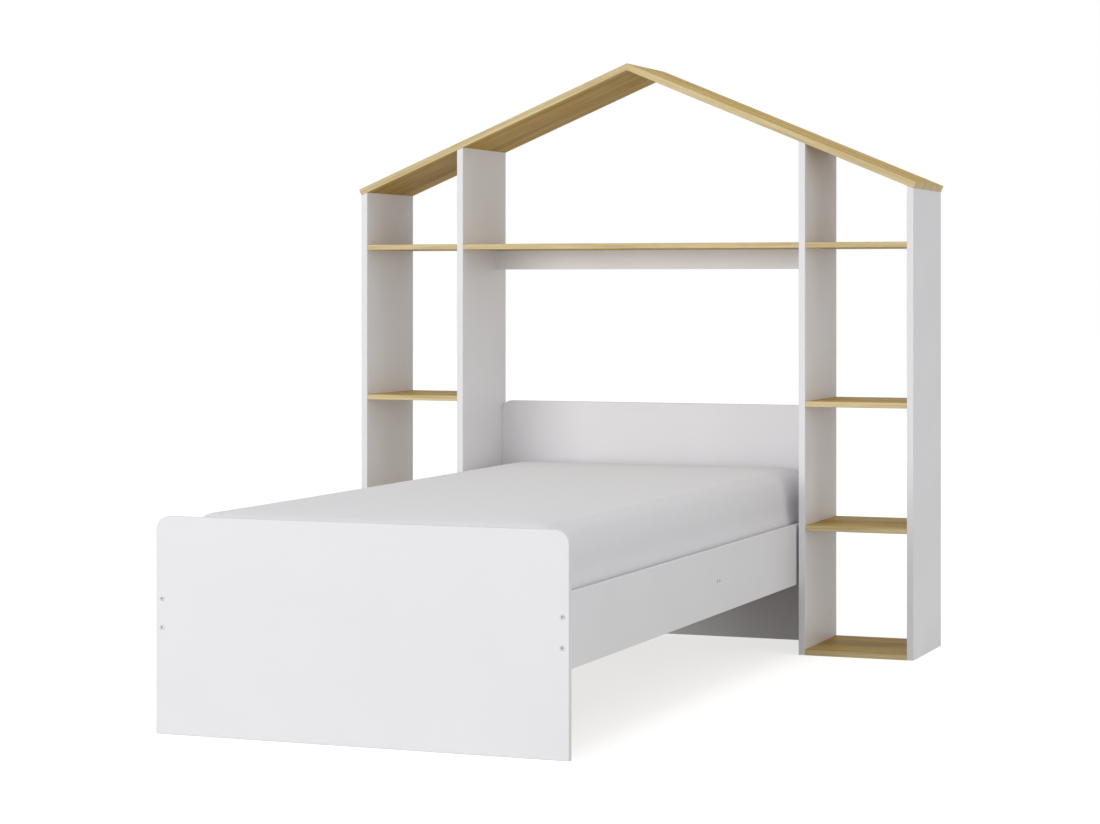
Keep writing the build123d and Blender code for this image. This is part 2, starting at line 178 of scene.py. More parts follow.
def thread(angle, start, end, core, crest, pitch, steps=6):
    """A screw thread in millimetres: the radius swings between core and crest once in each pitch.

    At angle t and height z the radius is core plus the crest's height times a triangle wave of
    t / (2 pi) - z / pitch, faded out over one pitch at each end.
    """
    rows = int(round((end - start) / pitch * steps)) + 1
    height = np.linspace(start, end, rows)[:, None]
    wave = 1 - np.abs(2 * ((angle / (2 * pi) - height / pitch) % 1) - 1)
    fade = np.clip(np.minimum(height - start, end - height) / pitch, 0, 1)
    return (core + (crest - core) * wave * fade) * MM, height * np.ones(len(angle)) * MM


def recess(outline, *rings):
    """A drive cut into a head: rings (share, height), each the outline's polar radii times a share."""
    share, height = np.array(rings, float).T[:, :, None]
    return share * outline, height * np.ones(len(outline)) * MM


def hexagon(angle, radius):
    """Polar radii of a hexagon with that radius over its corners, in millimetres."""
    return radius * MM * cos(pi / 6) / np.cos((angle % (pi / 3)) - pi / 6)


def bar(angle, reach, half_width):
    """Polar radii of a straight bar across the middle: at each angle, the nearer of its end and side."""
    across = np.maximum(np.abs(np.cos(angle)), 1e-6)
    along = np.maximum(np.abs(np.sin(angle)), 1e-6)
    return np.minimum(reach / across, half_width / along) * MM


def cross_angles(reach, half_width):
    """Angles round a cross of two bars, with one at each of its corners."""
    tip = np.arctan2(half_width, reach)
    quarter = np.array([-tip, 0, tip, pi / 8, pi / 4, 3 * pi / 8])
    return (quarter + pi / 2 * np.arange(4)[:, None]).ravel()


def cross(angle, reach, half_width):
    """Polar radii of a cross: at each angle, the bar that reaches further."""
    return np.maximum(bar(angle, reach, half_width), bar(angle + pi / 2, reach, half_width))


def turned(angle, *sections):
    """A turned piece: sections of rings one over the other, as points about its own Z axis."""
    reach = np.concatenate([section[0] for section in sections])
    height = np.concatenate([section[1] for section in sections])
    rings = np.stack([reach * np.cos(angle), reach * np.sin(angle), height], axis=-1)
    return with_poles(rings), closed_skin(len(reach), len(angle))


# Shader nodes


def add_node(tree, kind, inputs=None, **settings):
    """A shader node. Each input is a plain value or another node's output."""
    made = tree.nodes.new("ShaderNode" + kind)
    for name, value in settings.items():
        setattr(made, name, value)
    for name, value in (inputs or {}).items():
        if isinstance(value, bpy.types.NodeSocket):
            tree.links.new(value, made.inputs[name])
        else:
            made.inputs[name].default_value = value
    return made


def maths(tree, operation, *values, clamp=False):
    """The result of one Math node."""
    return add_node(tree, "Math", dict(enumerate(values)), operation=operation, use_clamp=clamp).outputs[0]


def crossfade(tree, share, first, second):
    """A value between two: the first where the share is 0, and the second where it is 1."""
    rest = maths(tree, "MULTIPLY", first, maths(tree, "SUBTRACT", 1.0, share))
    return maths(tree, "ADD", maths(tree, "MULTIPLY", second, share), rest)


def scaled(tree, vector, factors):
    """A vector with each of its parts multiplied."""
    return add_node(tree, "VectorMath", {0: vector, 1: factors}, operation="MULTIPLY").outputs[0]


def noise(tree, vector, scale, detail=2.0, roughness=0.5):
    """The factor of a Noise texture."""
    inputs = {"Vector": vector, "Scale": scale, "Detail": detail, "Roughness": roughness}
    return add_node(tree, "TexNoise", inputs).outputs["Fac"]


def between(tree, value, low, high, to_low=0.0, to_high=1.0):
    """A value carried from one range to another with a soft start and end."""
    inputs = {"Value": value, "From Min": low, "From Max": high, "To Min": to_low, "To Max": to_high}
    return add_node(tree, "MapRange", inputs, interpolation_type="SMOOTHSTEP").outputs["Result"]


def mixed(tree, share, first, second):
    """A colour between two."""
    made = add_node(tree, "Mix", {"Factor": share}, data_type="RGBA")
    for socket, value in ((made.inputs[6], first), (made.inputs[7], second)):
        if isinstance(value, bpy.types.NodeSocket):
            tree.links.new(value, socket)
        else:
            socket.default_value = value
    return made.outputs[2]


def new_group(name, inputs, outputs):
    """An empty node group: (tree, its input sockets, its output sockets)."""
    tree = bpy.data.node_groups.new(name, "ShaderNodeTree")
    for label, default in inputs.items():
        kind = "Float" if isinstance(default, float) else "Color" if len(default) == 4 else "Vector"
        made = tree.interface.new_socket(label, in_out="INPUT", socket_type="NodeSocket" + kind)
        made.default_value = default
    for label, kind in outputs.items():
        tree.interface.new_socket(label, in_out="OUTPUT", socket_type="NodeSocket" + kind)
    return tree, tree.nodes.new("NodeGroupInput").outputs, tree.nodes.new("NodeGroupOutput").inputs


def use_group(tree, group, **inputs):
    """A group placed in a material, with its own values; names use _ for a space."""
    made = tree.nodes.new("ShaderNodeGroup")
    made.node_tree = group
    for name, value in inputs.items():
        socket = made.inputs[name.replace("_", " ")]
        if isinstance(value, bpy.types.NodeSocket):
            tree.links.new(value, socket)
        else:
            socket.default_value = value
    return made.outputs


def colour(red, green, blue):
    """A plain colour with full alpha, in linear values."""
    return (red, green, blue, 1.0)


# Finishes: linear colours, and lengths that set how coarse a pattern is

LAMINATE = (colour(0.84, 0.832, 0.85), colour(0.83, 0.822, 0.84))
LAMINATE_EDGE = colour(0.835, 0.828, 0.845)
LAMINATE_TRIM = colour(0.7, 0.7, 0.7)
LAMINATE_DUST = colour(0.6, 0.58, 0.55)
OAK = {"Light": colour(0.66, 0.465, 0.14), "Dark": colour(0.39, 0.24, 0.055)}
OAK_EDGE = {"Light": colour(0.76, 0.63, 0.36), "Dark": colour(0.56, 0.43, 0.215)}
OAK_TRIM = colour(0.5, 0.38, 0.2)
OAK_DUST = colour(0.62, 0.58, 0.5)
PINE = (colour(0.72, 0.56, 0.36), colour(0.56, 0.37, 0.19))
BEECH_WOOD = (colour(0.66, 0.46, 0.29), colour(0.52, 0.33, 0.19))
ZINC_PLATE = (colour(0.45, 0.455, 0.465), colour(0.37, 0.375, 0.385))
CAST_ZINC = (colour(0.42, 0.43, 0.45), colour(0.33, 0.34, 0.36))
PLASTIC = (colour(0.96, 0.955, 0.945), colour(0.93, 0.925, 0.915))
COVER = (colour(0.86, 0.855, 0.875), colour(0.85, 0.845, 0.865))
# colour of the painted shade in the knit's hollows
COVER_HOLLOW_SHADE = colour(0.7, 0.7, 0.72)
# the tape's two tones: the darker is painted shade in the grooves between the ribs, the lighter is the ribs'
# crests
TAPE = (colour(0.5, 0.49, 0.46), colour(0.72, 0.71, 0.68))
TAPE_FUZZ = colour(0.4, 0.39, 0.37)
FLOOR = (colour(0.7, 0.7, 0.7), colour(0.68, 0.68, 0.68))
WHITE = colour(1, 1, 1)
RING_PITCH = 0.021  # from one growth ring to the next across an oak face
RING_DRIFT = 0.22  # how far slow noise pushes the rings aside
RIB_PITCH = 1.3 * MM
RIB_SLANT = radians(40)


def grain_group():
    """Wood grain along X: broad figure bent by slow noise, fine streaks and short dark pores."""
    tree, given, out = new_group(
        "wood grain",
        {"Vector": (0, 0, 0), "Light": colour(0.7, 0.5, 0.3), "Dark": colour(0.5, 0.3, 0.15),
         "Figure": 0.5, "Pores": 0.5},
        {"Color": "Color", "Height": "Float"},
    )
    at = given["Vector"]
    drift = noise(tree, scaled(tree, at, (0.7, 4.0, 4.0)), 1.0, 1.0)
    split = add_node(tree, "SeparateXYZ", {"Vector": at}).outputs
    aside = maths(tree, "MULTIPLY", drift, RING_DRIFT)
    across = maths(tree, "ADD", aside, maths(tree, "ADD", split["Y"], split["Z"]))
    rings = maths(tree, "SINE", maths(tree, "MULTIPLY", across, 2 * pi / RING_PITCH))
    figure = between(tree, rings, -0.3, 1.0)
    streaks = noise(tree, scaled(tree, at, (4.0, 210.0, 210.0)), 1.0, 4.0, 0.6)
    bands = noise(tree, scaled(tree, at, (1.3, 26.0, 26.0)), 1.0, 3.0, 0.55)
    pore_noise = noise(tree, scaled(tree, at, (30.0, 700.0, 700.0)), 1.0, 1.0)
    pores = maths(tree, "MULTIPLY", between(tree, pore_noise, 0.54, 0.68), given["Pores"])
    share = maths(tree, "MULTIPLY", given["Figure"], between(tree, bands, 0.35, 0.65, 0.25, 1.0))
    tone = maths(tree, "MULTIPLY", figure, share)
    tone = maths(tree, "ADD", tone, between(tree, streaks, 0.3, 0.7, -0.2, 0.45))
    tone = maths(tree, "ADD", tone, between(tree, bands, 0.3, 0.7, -0.15, 0.4))
    tone = maths(tree, "ADD", tone, maths(tree, "MULTIPLY", pores, 0.7), clamp=True)
    tree.links.new(mixed(tree, tone, given["Light"], given["Dark"]), out["Color"])
    tree.links.new(maths(tree, "SUBTRACT", maths(tree, "MULTIPLY", streaks, 0.4), pores), out["Height"])
    return tree


def banding_group():
    """Edge banding, told apart by the face's direction.

    Edge is 1 on the faces that stand square to the board's thickness, and Trim is 1 on the narrow
    slanted faces where the band was trimmed.
    """
    tree, given, out = new_group(
        "edge banding", {"Normal": (0, 0, 1), "Thickness": (0, 0, 1)}, {"Edge": "Float", "Trim": "Float"}
    )
    dot = add_node(tree, "VectorMath", {0: given["Normal"], 1: given["Thickness"]}, operation="DOT_PRODUCT")
    lean = maths(tree, "ABSOLUTE", dot.outputs["Value"])
    low = between(tree, lean, 0.3, 0.5)
    high = between(tree, lean, 0.85, 0.95)
    tree.links.new(maths(tree, "SUBTRACT", 1.0, low), out["Edge"])
    tree.links.new(maths(tree, "SUBTRACT", low, high), out["Trim"])
    return tree


def press_group():
    """The pressed skin of a laminate or moulding: fine peel, slow waviness and faint cloudiness."""
    tree, given, out = new_group(
        "pressed skin", {"Vector": (0, 0, 0), "Grit": 900.0}, {"Height": "Float", "Cloud": "Float"}
    )
    fine = noise(tree, given["Vector"], given["Grit"], 2.0)
    wavy = noise(tree, given["Vector"], 9.0, 1.0)
    tree.links.new(maths(tree, "ADD", maths(tree, "MULTIPLY", fine, 0.25), wavy), out["Height"])
    tree.links.new(noise(tree, given["Vector"], 3.1, 3.0, 0.6), out["Cloud"])
    return tree


def handling_group():
    """Where hands and cloths have been: patches of smoother and duller surface, with settled dust.

    Rub is a patchy value for roughness, and Dust is 1 on faces that look straight up.
    """
    tree, given, out = new_group(
        "handling", {"Vector": (0, 0, 0), "Normal": (0, 0, 1)}, {"Rub": "Float", "Dust": "Float"}
    )
    patches = noise(tree, given["Vector"], 6.0, 4.0, 0.65)
    specks = noise(tree, given["Vector"], 420.0, 2.0)
    up = add_node(tree, "SeparateXYZ", {"Vector": given["Normal"]}).outputs["Z"]
    dust = maths(tree, "MULTIPLY", between(tree, up, 0.5, 1.0), between(tree, specks, 0.5, 0.72))
    tree.links.new(between(tree, patches, 0.3, 0.7), out["Rub"])
    tree.links.new(maths(tree, "MULTIPLY", dust, between(tree, patches, 0.35, 0.8)), out["Dust"])
    return tree


def knit_group():
    """Fine knitted cloth: two crossing waves make loops, picked by the face's main direction."""
    tree, given, out = new_group(
        "fine knit",
        {"Vector": (0, 0, 0), "Normal": (0, 0, 1), "Loops": 700.0},
        {"Height": "Float", "Thin": "Float"},
    )
    at = add_node(tree, "SeparateXYZ", {"Vector": given["Vector"]}).outputs
    facing = add_node(tree, "SeparateXYZ", {"Vector": given["Normal"]}).outputs

    def loops(first, second):
        row_turn = maths(tree, "MULTIPLY", given["Loops"], 2 * pi)
        rows = maths(tree, "SINE", maths(tree, "MULTIPLY", first, row_turn))
        shift = maths(tree, "MULTIPLY", rows, 0.9)
        turn = maths(tree, "MULTIPLY", second, maths(tree, "MULTIPLY", given["Loops"], 1.4 * pi))
        return maths(tree, "MULTIPLY", rows, maths(tree, "SINE", maths(tree, "ADD", turn, shift)))

    top = between(tree, maths(tree, "ABSOLUTE", facing["Z"]), 0.55, 0.75)
    end = between(tree, maths(tree, "ABSOLUTE", facing["Y"]), 0.55, 0.75)
    side = loops(at["Y"], at["Z"])
    front = loops(at["X"], at["Z"])
    level = loops(at["X"], at["Y"])
    walls = crossfade(tree, end, side, front)
    tree.links.new(crossfade(tree, top, walls, level), out["Height"])
    tree.links.new(noise(tree, given["Vector"], 24.0, 4.0, 0.6), out["Thin"])
    return tree


GRAIN = grain_group()
BANDING = banding_group()
PRESS = press_group()
HANDLING = handling_group()
KNIT = knit_group()


def new_material(name):
    """A material with its tree, its Principled shader and the object's own coordinates."""
    made = bpy.data.materials.new(name)
    made.use_nodes = True
    tree = made.node_tree
    tree.nodes.clear()
    shader = add_node(tree, "BsdfPrincipled")
    end = add_node(tree, "OutputMaterial")
    tree.links.new(shader.outputs["BSDF"], end.inputs["Surface"])
    return made, tree, shader, add_node(tree, "TexCoord").outputs


def bumped(tree, shader, height, distance, strength=1.0):
    """Lets a height push the shader's normal."""
    bump = add_node(tree, "Bump", {"Height": height, "Distance": distance, "Strength": strength})
    tree.links.new(bump.outputs["Normal"], shader.inputs["Normal"])


def white_laminate(name, thickness):
    """White melamine-faced board with a white edge band."""
    made, tree, shader, at = new_material(name)
    skin = use_group(tree, PRESS, Vector=at["Object"], Grit=1100.0)
    band = use_group(tree, BANDING, Normal=at["Normal"], Thickness=thickness)
    rub = use_group(tree, HANDLING, Vector=at["Object"], Normal=at["Normal"])
    face = mixed(tree, between(tree, skin["Cloud"], 0.3, 0.7), *LAMINATE)
    face = mixed(tree, band["Edge"], face, LAMINATE_EDGE)
    face = mixed(tree, maths(tree, "MULTIPLY", band["Trim"], 0.35), face, LAMINATE_TRIM)
    face = mixed(tree, maths(tree, "MULTIPLY", rub["Dust"], 0.12), face, LAMINATE_DUST)
    tree.links.new(face, shader.inputs["Base Color"])
    rough = maths(tree, "ADD", maths(tree, "MULTIPLY", rub["Rub"], 0.08), 0.42)
    rough = maths(tree, "ADD", rough, maths(tree, "MULTIPLY", band["Edge"], 0.06))
    tree.links.new(rough, shader.inputs["Roughness"])
    shader.inputs["Specular IOR Level"].default_value = 0.35
    bumped(tree, shader, skin["Height"], 0.12 * MM, 0.5)
    return made


def oak_laminate(name, thickness, start, turn=0.0):
    """Oak-effect board, its grain along X turned about Y, with a paler band along its edges."""
    made, tree, shader, at = new_material(name)
    inputs = {"Vector": at["Object"], "Location": start, "Rotation": (0, turn, 0)}
    own = add_node(tree, "Mapping", inputs).outputs["Vector"]
    grain = use_group(tree, GRAIN, Vector=own, Figure=0.55, Pores=0.6, **OAK)
    edge = use_group(tree, GRAIN, Vector=own, Figure=0.35, Pores=0.4, **OAK_EDGE)
    band = use_group(tree, BANDING, Normal=at["Normal"], Thickness=thickness)
    rub = use_group(tree, HANDLING, Vector=at["Object"], Normal=at["Normal"])
    face = mixed(tree, band["Edge"], grain["Color"], edge["Color"])
    face = mixed(tree, maths(tree, "MULTIPLY", band["Trim"], 0.4), face, OAK_TRIM)
    face = mixed(tree, maths(tree, "MULTIPLY", rub["Dust"], 0.05), face, OAK_DUST)
    tree.links.new(face, shader.inputs["Base Color"])
    rough = maths(tree, "ADD", maths(tree, "MULTIPLY", rub["Rub"], 0.1), 0.5)
    tree.links.new(rough, shader.inputs["Roughness"])
    shader.inputs["Specular IOR Level"].default_value = 0.05
    bumped(tree, shader, grain["Height"], 0.08 * MM, 0.6)
    return made


def solid_wood(name, light, dark, turn=(0, 0, 0), figure=0.7, pores=0.2):
    """Planed wood with its grain along X, turned to the piece's length."""
    made, tree, shader, at = new_material(name)
    own = add_node(tree, "Mapping", {"Vector": at["Object"], "Rotation": turn}).outputs["Vector"]
    grain = use_group(tree, GRAIN, Vector=own, Light=light, Dark=dark, Figure=figure, Pores=pores)
    tree.links.new(grain["Color"], shader.inputs["Base Color"])
    rub = use_group(tree, HANDLING, Vector=at["Object"], Normal=at["Normal"])
    wear = maths(tree, "MULTIPLY", rub["Rub"], 0.12)
    tree.links.new(maths(tree, "ADD", wear, 0.58), shader.inputs["Roughness"])
    shader.inputs["Specular IOR Level"].default_value = 0.25
    bumped(tree, shader, grain["Height"], 0.15 * MM, 0.7)
    return made


def plated_metal(name, tint, shade, rough, grit):
    """Zinc-plated or die-cast metal: cloudy tint, fine grain and rubbed patches."""
    made, tree, shader, at = new_material(name)
    skin = use_group(tree, PRESS, Vector=at["Object"], Grit=grit)
    rub = use_group(tree, HANDLING, Vector=at["Object"], Normal=at["Normal"])
    clouds = noise(tree, at["Object"], 160.0, 3.0)
    tree.links.new(mixed(tree, between(tree, clouds, 0.3, 0.7), tint, shade), shader.inputs["Base Color"])
    wear = maths(tree, "MULTIPLY", rub["Rub"], 0.14)
    tree.links.new(maths(tree, "ADD", wear, rough), shader.inputs["Roughness"])
    shader.inputs["Metallic"].default_value = 1.0
    bumped(tree, shader, skin["Height"], 0.03 * MM, 0.5)
    return made


def white_plastic():
    """Moulded caps, slightly glossier than the boards."""
    made, tree, shader, at = new_material("white plastic")
    skin = use_group(tree, PRESS, Vector=at["Object"], Grit=1600.0)
    cloud = between(tree, skin["Cloud"], 0.3, 0.7)
    tree.links.new(mixed(tree, cloud, *PLASTIC), shader.inputs["Base Color"])
    shader.inputs["Roughness"].default_value = 0.32
    bumped(tree, shader, skin["Height"], 0.03 * MM, 0.4)
    return made


def mattress_cloth():
    """The cover: fine knit, brushed, with a soft sheen, a little unevenness and painted shade in the knit's
    hollows.
    """
    made, tree, shader, at = new_material("mattress cover")
    knit = use_group(tree, KNIT, Vector=at["Object"], Normal=at["Normal"], Loops=520.0)
    thin = between(tree, knit["Thin"], 0.3, 0.7)
    # painted shade: the deepest hollows of the knit are coloured darker
    hollow_shade = between(tree, knit["Height"], -0.9, 0.1, 0.12, 0.0)
    base = mixed(tree, hollow_shade, mixed(tree, thin, *COVER), COVER_HOLLOW_SHADE)
    tree.links.new(base, shader.inputs["Base Color"])
    shader.inputs["Roughness"].default_value = 0.9
    shader.inputs["Specular IOR Level"].default_value = 0.2
    shader.inputs["Sheen Weight"].default_value = 0.15
    shader.inputs["Sheen Roughness"].default_value = 0.5
    bumped(tree, shader, knit["Height"], 0.2 * MM, 0.3)
    return made


def woven_tape():
    """Twill tape: slanting ribs along its length, with painted shade in the grooves between them."""
    made, tree, shader, at = new_material("slat tape")
    slanted = add_node(tree, "Mapping", {"Vector": at["Object"], "Rotation": (0, 0, RIB_SLANT)})
    across = add_node(tree, "SeparateXYZ", {"Vector": slanted.outputs["Vector"]}).outputs["X"]
    ribs = maths(tree, "SINE", maths(tree, "MULTIPLY", across, 2 * pi / RIB_PITCH))
    fuzz = noise(tree, at["Object"], 900.0, 3.0)
    # painted shade: the colour follows the ribs' height, darker in the grooves and lighter on the crests
    base = mixed(tree, between(tree, ribs, -1, 1), *TAPE)
    base = mixed(tree, between(tree, fuzz, 0.4, 0.75, 0, 0.4), base, TAPE_FUZZ)
    tree.links.new(base, shader.inputs["Base Color"])
    shader.inputs["Roughness"].default_value = 0.92
    shader.inputs["Specular IOR Level"].default_value = 0.2
    bumped(tree, shader, ribs, 0.15 * MM, 0.8)
    return made


def floor_material():
    """A pale floor: matt, with a glow for the camera alone that brings its open part to white."""
    made, tree, shader, at = new_material("floor")
    speckle = noise(tree, at["Object"], 60.0, 3.0)
    tree.links.new(mixed(tree, speckle, *FLOOR), shader.inputs["Base Color"])
    shader.inputs["Roughness"].default_value = 1.0
    shader.inputs["Specular IOR Level"].default_value = 0.0
    strength = maths(tree, "MULTIPLY", direct_view(tree), FLOOR_GLOW)
    glow = add_node(tree, "Emission", {"Color": WHITE, "Strength": strength})
    both = add_node(tree, "AddShader", {0: shader.outputs["BSDF"], 1: glow.outputs[0]})
    end = next(node for node in tree.nodes if node.type == "OUTPUT_MATERIAL")
    tree.links.new(both.outputs[0], end.inputs["Surface"])
    return made


def direct_view(tree):
    """1 for what the camera sees, straight, mirrored or through something clear."""
    path = add_node(tree, "LightPath").outputs
    mirrored = maths(tree, "MAXIMUM", path["Is Camera Ray"], path["Is Glossy Ray"])
    return maths(tree, "MAXIMUM", mirrored, path["Is Transmission Ray"])


# Stage, light and camera


def build_stage():
    """A level square floor, wide, and just under the object."""
    rim = [(x * FLOOR_REACH, y * FLOOR_REACH, -FLOOR_DROP) for x, y in QUARTERS[2:] + QUARTERS[:2]]
    floor = add_object("floor", rim, [(0, 1, 2, 3)], floor_material(), None, None)


def build_world():
    """White for the camera, and an even light of lower strength for everything else."""
    world = bpy.data.worlds.new("studio")
    bpy.context.scene.world = world
    world.use_nodes = True
    tree = world.node_tree
    tree.nodes.clear()
    extra = maths(tree, "MULTIPLY", direct_view(tree), 1.0 - WORLD_LIGHT)
    strength = maths(tree, "ADD", WORLD_LIGHT, extra)
    sky = add_node(tree, "Background", {"Color": WHITE, "Strength": strength})
    end = add_node(tree, "OutputWorld")
    tree.links.new(sky.outputs[0], end.inputs["Surface"])


def build_light():
    """A wide, low, soft key from the front left, a weaker fill from the front right, and light from above."""
    for name, (place, size, power) in LIGHTS.items():
        data = bpy.data.lights.new(name, "AREA")
        data.shape = "RECTANGLE"
        data.size, data.size_y = size
        data.energy = power
        lamp = bpy.data.objects.new(name, data)
        bpy.context.scene.collection.objects.link(lamp)
        lamp.visible_camera = False
        lamp.location = place
        lamp.rotation_euler = (Vector(LIGHT_AIM) - Vector(place)).to_track_quat("-Z", "Y").to_euler()


def build_camera():
    """The camera looks level, and its shift puts the horizon where the photograph has it."""
    data = bpy.data.cameras.new("camera")
    data.lens = LENS
    data.sensor_width = SENSOR
    data.sensor_fit = "HORIZONTAL"
    data.shift_y = -(PICTURE_MID_Y - HORIZON_Y) / PICTURE_W
    data.dof.use_dof = False
    camera = bpy.data.objects.new("camera", data)
    bpy.context.scene.collection.objects.link(camera)
    camera.location = CAMERA_PLACE
    camera.rotation_euler = (pi / 2, 0, CAMERA_TURN)
    bpy.context.scene.camera = camera
    bpy.context.scene.view_settings.view_transform = "Standard"


build_camera()
build_stage()
build_world()
build_light()


# Boards


def dress(node, material):
    """Gives a CAD node its material."""
    for slot in nodes[node].material_slots:
        slot.material = material


def dress_boards():
    """White boards by the way their thickness lies, and oak boards each with its own stretch of grain."""
    upright_skin = white_laminate("white laminate upright", tuple(X))
    panel_skin = white_laminate("white laminate panel", tuple(Y))
    for side in ("left", "right"):
        for kind in ("upright_outer", "upright_inner", "side_rail"):
            dress(f"{kind}_{side}", upright_skin)
    for kind in ("footboard", "headboard", "stretcher"):
        dress(kind, panel_skin)
    shelves = [f"shelf_{level}_{side}" for level in LEVELS for side in ("left", "right")]
    for number, shelf in enumerate(shelves + ["shelf_niche"]):
        start = (0.83 * number, 0.37 * number, 0.11 * number)
        dress(shelf, oak_laminate(f"oak {shelf.replace('_', ' ')}", tuple(Z), start))
    for number, (side, sign) in enumerate(SIDES):
        thickness = (sign * sin(ROOF_PITCH), 0, cos(ROOF_PITCH))
        start = (2.6 + number, 1.3 * number, 0.4)
        dress(f"roof_panel_{side}", oak_laminate(f"oak roof {side}", thickness, start, -sign * ROOF_PITCH))
    along_x = solid_wood("pine slat", *PINE)
    along_y = solid_wood("pine ledger", *PINE, (0, 0, pi / 2))
    for number in range(1, 2 * SLATS_EACH_WAY + 1):
        dress(f"slat_{number:02d}", along_x)
    dress("tie_batten", along_x)
    dress("ledger_left", along_y)
    dress("ledger_right", along_y)


dress_boards()

# Fittings

STEEL = plated_metal("zinc plated steel", *ZINC_PLATE, 0.5, 1500.0)
DIE_CAST = plated_metal("die-cast zinc", *CAST_ZINC, 0.45, 900.0)
BEECH = solid_wood("beech", *BEECH_WOOD, figure=0.4, pores=0.5)


def corners(node):
    """Lowest and highest corner of a CAD node, as arrays."""
    low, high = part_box(node)
    return np.array(low), np.array(high)


def roof_under(x):
    """Height of the roof's underside at a distance x from the middle."""
    outer = corners("upright_outer_right")[1][0]
    return EAVES_TOP - ROOF_T / cos(ROOF_PITCH) + tan(ROOF_PITCH) * (outer - abs(x))


def board_cams():
    """The cams in shelves, stretcher and headboard: (joint point, into, opens, depth, reach).

    The bolt's axis crosses the joint at the point and runs into the other board, and the cam opens on
    the face that lies a depth away from the axis.
    """
    found = []
    for level in LEVELS:
        for side in ("left", "right"):
            low, high = corners(f"shelf_{level}_{side}")
            found += end_cams(low, high, [(high[1] - SETBACK, -Z)], Y)
    low, high = corners("shelf_niche")
    rows = (low[1] + SETBACK + SYSTEM_STEP, high[1] - SETBACK - 2 * SYSTEM_STEP)
    found += end_cams(low, high, [(row, -Z) for row in rows], Y)
    low, high = corners("stretcher")
    found += end_cams(low, high, [(low[2] + (high[2] - low[2]) / 3, Y)], Z)
    low, high = corners("headboard")
    found += end_cams(low, high, [(row, Y) for row in (4 * SYSTEM_STEP, high[2] - 3 * SYSTEM_STEP)], Z)
    return found


def end_cams(low, high, rows, along):
    """A cam at both ends of a board for each (place along an axis, direction that it opens)."""
    middle = (low + high) / 2
    found = []
    for x, into in ((low[0], -X), (high[0], X)):
        for row, opens in rows:
            point = middle * (1 - X - along) + x * X + row * along
            found.append((point, into, opens, abs((high - low) @ opens) / 2, CAM_REACH))
    return found


def roof_cams():
    """The covered cams near the tops of the uprights, as in board_cams."""
    found = []
    for side, sign in SIDES:
        for kind, opens in (("outer", -sign), ("inner", sign)):
            low, high = corners(f"upright_{kind}_{side}")
            x = (low[0] + high[0]) / 2
            point = np.array((x, high[1] - SETBACK, roof_under(x)))
            found.append((point, Z, opens * X, (high[0] - low[0]) / 2, ROOF_CAM_REACH))
    return found


def build_cams():
    """Cam locks with a cross drive and a ring, their bolts, and the caps of the four under the roof."""
    angle = cross_angles(*CAM_DRIVE)
    top = PROUD / MM
    body = circles(
        angle, (4.4, -10.5), (5.6, -10.3), (6, -9.8), (6, -7.8), (5.1, -7.4), (5.1, -3), (6, -2.6),
        (6.05, -0.3), (6.05, top - 0.12), (5.9, top), (5.2, top), (5.05, top - 0.2), (4.6, top - 0.2),
        (4.45, top),
    )
    drive = recess(cross(angle, *CAM_DRIVE), (1.05, top), (1, top - 0.2), (0.9, -1.5), (0.3, -1.6))
    every = board_cams() + roof_cams()
    locks = [
        (point - into * reach + opens * depth, opens, into) for point, into, opens, depth, reach in every
    ]
    piece = repeated("cam_lock_barrels", *turned(angle, body, drive), locks, DIE_CAST, "die_cast_zinc")
    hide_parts("cam_locks")

    caps = locks[-len(roof_cams()):]
    angle = even_angles(32)
    dome = circles(angle, (6.2, -0.2), (6.55, 0), (6.6, 0.25), (6.45, 0.55), (6, 0.72), (4, 0.8), (2, 0.82))
    piece = repeated("cam_cover_caps", *turned(angle, dome), caps, white_plastic(), "white_plastic")
    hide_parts("cam_covers")

    angle = even_angles(14)
    meshes = []
    for length, group in ((CAM_REACH / MM, board_cams()), (ROOF_CAM_REACH / MM, roof_cams())):
        shank = circles(angle, (1.2, 1), (2.6, 1.5), (3, 2.6), (2.6, 3.8), (1.6, 4.6), (1.6, 7), (2.5, 7.6),
                        (2.5, length - 4), (3, length - 3.6), (3, length - 0.6))
        point = thread(angle, length - 0.4, length + 10, 2.1, 3, 2.2, 4)
        points, faces = turned(angle, shank, point, circles(angle, (1.2, length + 11)))
        places = [(point - into * reach, into, opens) for point, into, opens, depth, reach in group]
        meshes.append((points, faces, places))
    piece = repeated_kinds("cam_bolt_pins", meshes, STEEL, "zinc_steel")
    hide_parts("cam_bolts")


def dowel_shape(radius, length):
    """A fluted dowel in millimetres with chamfered ends: the radius dips eight times round the pin."""
    angle = even_angles(32)
    flute = 1 - 0.05 * (0.5 - 0.5 * np.cos(8 * angle))
    reach, height = circles(angle, (radius - 1, 0), (radius, 1), (radius, length - 1), (radius - 1, length))
    return turned(angle, (reach * flute, height))


